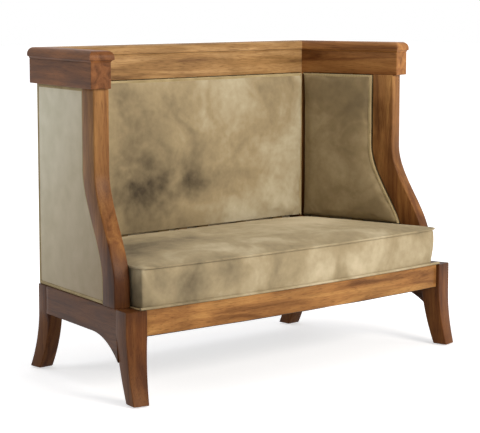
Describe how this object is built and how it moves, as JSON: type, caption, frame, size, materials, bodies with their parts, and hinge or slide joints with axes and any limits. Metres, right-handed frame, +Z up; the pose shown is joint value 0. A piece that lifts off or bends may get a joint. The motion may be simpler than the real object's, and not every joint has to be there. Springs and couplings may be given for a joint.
{
  "type": "high back settee",
  "caption": "Free-standing two-seat settee with a high back, high splayed sides, a cornice top rail, curved square legs and tight upholstery with one thick seat pad.",
  "frame": {"origin": "on the floor, under the centre of the overall box", "axes": "+X to the right of someone facing the front, -Y the way the front faces, +Z up"},
  "size_m": [1.55, 0.7532, 1.12],
  "materials": {
    "show_wood": "polished red-brown hardwood",
    "frame_wood": "plain planed wood",
    "velvet": "short taupe pile",
    "outside_cloth": "pale grey-green cloth",
    "webbing": "woven jute",
    "burlap": "coarse hessian",
    "dust_cloth": "thin black cloth",
    "spring_wire": "drawn wire",
    "screw_steel": "plain steel",
    "glide_metal": "domed steel"
  },
  "bodies": {
    "root": {"front_rail": "show_wood", "rear_rail": "show_wood", "side_rail_left": "show_wood", "side_rail_right": "show_wood", "front_leg_left": "show_wood", "front_leg_right": "show_wood", "rear_post_left": "show_wood", "rear_post_right": "show_wood", "front_upright_left": "show_wood", "front_upright_right": "show_wood", "top_rail_back": "show_wood", "top_rail_left": "show_wood", "top_rail_right": "show_wood", "cornice_back": "show_wood", "cornice_left": "show_wood", "cornice_right": "show_wood", "tack_rail_back": "frame_wood", "tack_rail_left": "frame_wood", "tack_rail_right": "frame_wood", "back_upright": "frame_wood", "seat_brace": "frame_wood", "corner_blocks": "frame_wood", "corner_screws": "screw_steel", "frame_dowels": "frame_wood", "glides": "glide_metal", "seat_webbing": "webbing", "seat_springs": "spring_wire", "seat_burlap": "burlap", "dust_cover": "dust_cloth", "seat_pad": "velvet", "seat_welt": "velvet", "back_webbing": "webbing", "side_webbing_left": "webbing", "side_webbing_right": "webbing", "back_pad": "velvet", "side_pad_left": "velvet", "side_pad_right": "velvet", "outside_back": "outside_cloth", "outside_left": "outside_cloth", "outside_right": "outside_cloth"}
  },
  "joints": []
}
